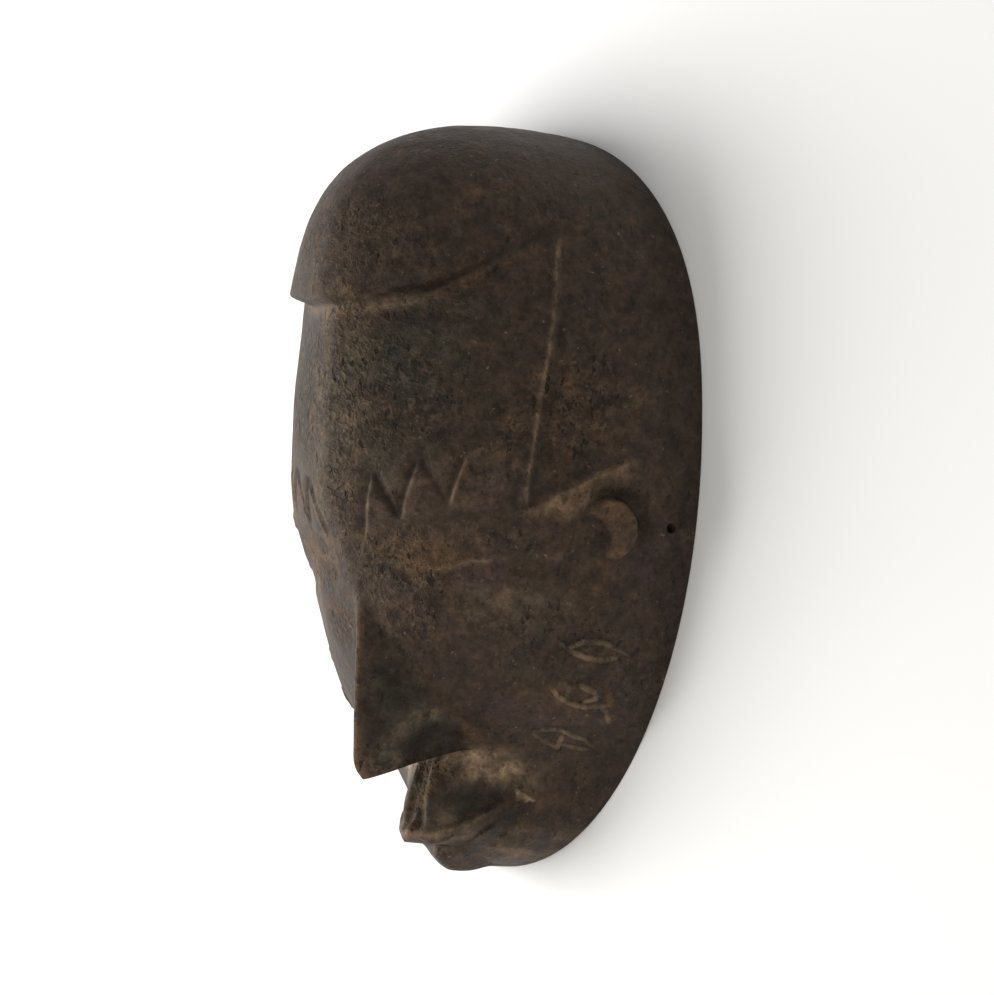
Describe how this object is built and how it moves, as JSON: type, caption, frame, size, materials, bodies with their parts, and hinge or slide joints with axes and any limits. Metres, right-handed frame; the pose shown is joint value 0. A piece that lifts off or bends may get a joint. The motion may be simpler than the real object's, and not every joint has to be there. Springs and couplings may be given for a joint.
{
  "type": "wooden mask",
  "caption": "Carved wooden face mask with a smooth hair cap, wedge nose, beak mouth, crescent ears, cheek marks and a hollow back, tied on through side holes.",
  "frame": {"origin": "centre of the flat rim's outline, on the plane of the rim, with the mask lying on its back", "axes": "+Z out of the face, +Y up the face to the crown, +X to the mask's own left"},
  "size_m": [0.179, 0.2877, 0.1142],
  "materials": {
    "carved_wood": "dark, smoked and handled, dull"
  },
  "bodies": {
    "root": {"mask": "carved_wood"}
  },
  "joints": []
}
